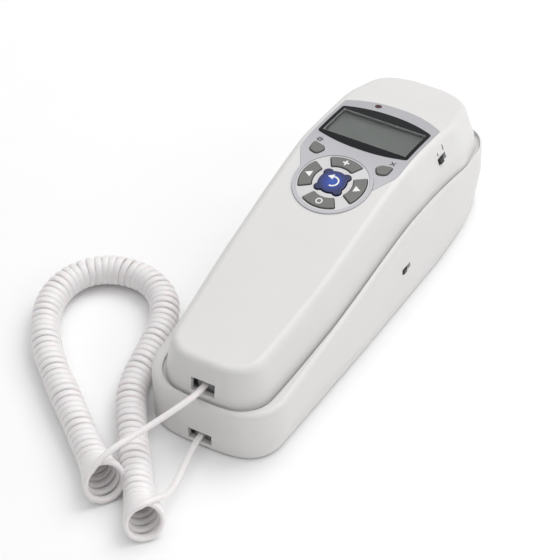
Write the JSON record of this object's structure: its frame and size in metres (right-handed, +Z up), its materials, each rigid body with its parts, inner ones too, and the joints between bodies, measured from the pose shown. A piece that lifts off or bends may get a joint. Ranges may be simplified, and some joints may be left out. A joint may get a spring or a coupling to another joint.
{
  "type": "corded telephone",
  "caption": "Slim corded telephone: handset with caller display on its back, cradle base, and curly handset cord.",
  "frame": {"origin": "on the table under the middle of the phone, cord left out", "axes": "+Y from the cord end to the ear end, +Z up, +X to the side with the switches"},
  "size_m": [0.1423, 0.2701, 0.0618],
  "materials": {
    "white_shell": "satin moulded",
    "silver_panel": "silver paint, satin",
    "black_frame": "gloss",
    "window": "clear",
    "lcd": "grey-green, smooth",
    "red_lens": "clear red",
    "bezel": "silver paint, satin",
    "grey_key": "fine texture",
    "blue_key": "clear blue, gloss",
    "dial_key": "fine texture",
    "black_knob": "moulded",
    "switch_body": "moulded",
    "jack": "moulded",
    "plug": "clear",
    "cord": "satin",
    "rubber": "matte",
    "mat_rubber": "translucent",
    "steel": "zinc plated",
    "board": "glass-fibre laminate",
    "buzzer": "moulded",
    "speaker": "moulded",
    "mic": "drawn can"
  },
  "bodies": {
    "base": {"base_housing": "white_shell", "bottom_cover": "white_shell", "wall_tab": "white_shell", "rubber_feet": "rubber", "base_screws": "steel", "base_weight": "steel", "base_circuit_board": "board", "buzzer": "buzzer", "base_cord_jack": "jack", "line_jack": "jack", "ringer_switch_body": "switch_body", "hook_switch_body": "switch_body", "hook_spring": "steel", "base_plug": "plug", "cord_coil": "cord", "base_lead": "cord"},
    "handset": {"handset_front_shell": "white_shell", "handset_back_shell": "white_shell", "display_panel": "silver_panel", "display_frame": "black_frame", "display_window": "window", "lcd_module": "lcd", "ring_bezel": "bezel", "status_light": "red_lens", "dome_mat": "mat_rubber", "display_board": "board", "keypad_mat": "mat_rubber", "keypad_board": "board", "earpiece_speaker": "speaker", "microphone": "mic", "handset_cord_jack": "jack", "handset_screws": "steel", "volume_switch_body": "switch_body", "handset_plug": "plug", "handset_lead": "cord"},
    "hook_plunger": {"hook_plunger": "white_shell"},
    "ringer_knob": {"ringer_knob": "black_knob"},
    "volume_knob": {"volume_knob": "black_knob"},
    "key_up": {"key_up": "grey_key"},
    "key_left": {"key_left": "grey_key"},
    "key_down": {"key_down": "grey_key"},
    "key_right": {"key_right": "grey_key"},
    "key_center": {"key_center": "blue_key"},
    "key_set": {"key_set": "grey_key"},
    "key_delete": {"key_delete": "grey_key"},
    "dial_key_redial": {"dial_key_redial": "dial_key"},
    "dial_key_flash": {"dial_key_flash": "dial_key"},
    "dial_key_mute": {"dial_key_mute": "dial_key"},
    "dial_key_star": {"dial_key_star": "dial_key"},
    "dial_key_0": {"dial_key_0": "dial_key"},
    "dial_key_hash": {"dial_key_hash": "dial_key"},
    "dial_key_7": {"dial_key_7": "dial_key"},
    "dial_key_8": {"dial_key_8": "dial_key"},
    "dial_key_9": {"dial_key_9": "dial_key"},
    "dial_key_4": {"dial_key_4": "dial_key"},
    "dial_key_5": {"dial_key_5": "dial_key"},
    "dial_key_6": {"dial_key_6": "dial_key"},
    "dial_key_1": {"dial_key_1": "dial_key"},
    "dial_key_2": {"dial_key_2": "dial_key"},
    "dial_key_3": {"dial_key_3": "dial_key"}
  },
  "joints": [
    {"name": "handset_lift", "type": "slide", "parent": "base", "child": "handset", "axis": [0, 0, 1], "range_m": [0, 0.08]},
    {"name": "hook_rise", "type": "slide", "parent": "base", "child": "hook_plunger", "axis": [0, 0, 1], "range_m": [0, 0.0035], "deforming": ["hook_spring"]},
    {"name": "ringer_slide", "type": "slide", "parent": "base", "child": "ringer_knob", "axis": [0, 1, 0], "range_m": [0, 0.003]},
    {"name": "volume_slide", "type": "slide", "parent": "handset", "child": "volume_knob", "axis": [0, 1, 0], "range_m": [0, 0.003]},
    {"name": "key_up_press", "type": "slide", "parent": "handset", "child": "key_up", "axis": [0, 0.1392, -0.9903], "range_m": [0, 0.0008], "stiffness_N_per_m": 400},
    {"name": "key_left_press", "type": "slide", "parent": "handset", "child": "key_left", "axis": [0, 0.1392, -0.9903], "range_m": [0, 0.0008], "stiffness_N_per_m": 400},
    {"name": "key_down_press", "type": "slide", "parent": "handset", "child": "key_down", "axis": [0, 0.1392, -0.9903], "range_m": [0, 0.0008], "stiffness_N_per_m": 400},
    {"name": "key_right_press", "type": "slide", "parent": "handset", "child": "key_right", "axis": [0, 0.1392, -0.9903], "range_m": [0, 0.0008], "stiffness_N_per_m": 400},
    {"name": "key_center_press", "type": "slide", "parent": "handset", "child": "key_center", "axis": [0, 0.1392, -0.9903], "range_m": [0, 0.0008], "stiffness_N_per_m": 400},
    {"name": "key_set_press", "type": "slide", "parent": "handset", "child": "key_set", "axis": [0, 0.0698, -0.9976], "range_m": [0, 0.0008], "stiffness_N_per_m": 400},
    {"name": "key_delete_press", "type": "slide", "parent": "handset", "child": "key_delete", "axis": [0, 0.0698, -0.9976], "range_m": [0, 0.0008], "stiffness_N_per_m": 400},
    {"name": "dial_key_redial_press", "type": "slide", "parent": "handset", "child": "dial_key_redial", "axis": [0, -0.1736, 0.9848], "range_m": [0, 0.001], "stiffness_N_per_m": 400},
    {"name": "dial_key_flash_press", "type": "slide", "parent": "handset", "child": "dial_key_flash", "axis": [0, -0.1736, 0.9848], "range_m": [0, 0.001], "stiffness_N_per_m": 400},
    {"name": "dial_key_mute_press", "type": "slide", "parent": "handset", "child": "dial_key_mute", "axis": [0, -0.1736, 0.9848], "range_m": [0, 0.001], "stiffness_N_per_m": 400},
    {"name": "dial_key_star_press", "type": "slide", "parent": "handset", "child": "dial_key_star", "axis": [0, -0.1736, 0.9848], "range_m": [0, 0.001], "stiffness_N_per_m": 400},
    {"name": "dial_key_0_press", "type": "slide", "parent": "handset", "child": "dial_key_0", "axis": [0, -0.1736, 0.9848], "range_m": [0, 0.001], "stiffness_N_per_m": 400},
    {"name": "dial_key_hash_press", "type": "slide", "parent": "handset", "child": "dial_key_hash", "axis": [0, -0.1736, 0.9848], "range_m": [0, 0.001], "stiffness_N_per_m": 400},
    {"name": "dial_key_7_press", "type": "slide", "parent": "handset", "child": "dial_key_7", "axis": [0, -0.1736, 0.9848], "range_m": [0, 0.001], "stiffness_N_per_m": 400},
    {"name": "dial_key_8_press", "type": "slide", "parent": "handset", "child": "dial_key_8", "axis": [0, -0.1736, 0.9848], "range_m": [0, 0.001], "stiffness_N_per_m": 400},
    {"name": "dial_key_9_press", "type": "slide", "parent": "handset", "child": "dial_key_9", "axis": [0, -0.1736, 0.9848], "range_m": [0, 0.001], "stiffness_N_per_m": 400},
    {"name": "dial_key_4_press", "type": "slide", "parent": "handset", "child": "dial_key_4", "axis": [0, -0.1736, 0.9848], "range_m": [0, 0.001], "stiffness_N_per_m": 400},
    {"name": "dial_key_5_press", "type": "slide", "parent": "handset", "child": "dial_key_5", "axis": [0, -0.1736, 0.9848], "range_m": [0, 0.001], "stiffness_N_per_m": 400},
    {"name": "dial_key_6_press", "type": "slide", "parent": "handset", "child": "dial_key_6", "axis": [0, -0.1736, 0.9848], "range_m": [0, 0.001], "stiffness_N_per_m": 400},
    {"name": "dial_key_1_press", "type": "slide", "parent": "handset", "child": "dial_key_1", "axis": [0, -0.1736, 0.9848], "range_m": [0, 0.001], "stiffness_N_per_m": 400},
    {"name": "dial_key_2_press", "type": "slide", "parent": "handset", "child": "dial_key_2", "axis": [0, -0.1736, 0.9848], "range_m": [0, 0.001], "stiffness_N_per_m": 400},
    {"name": "dial_key_3_press", "type": "slide", "parent": "handset", "child": "dial_key_3", "axis": [0, -0.1736, 0.9848], "range_m": [0, 0.001], "stiffness_N_per_m": 400}
  ],
  "couplings": [
    {"joint": "hook_rise", "follows": "handset_lift", "ratio": 0.04375}
  ]
}
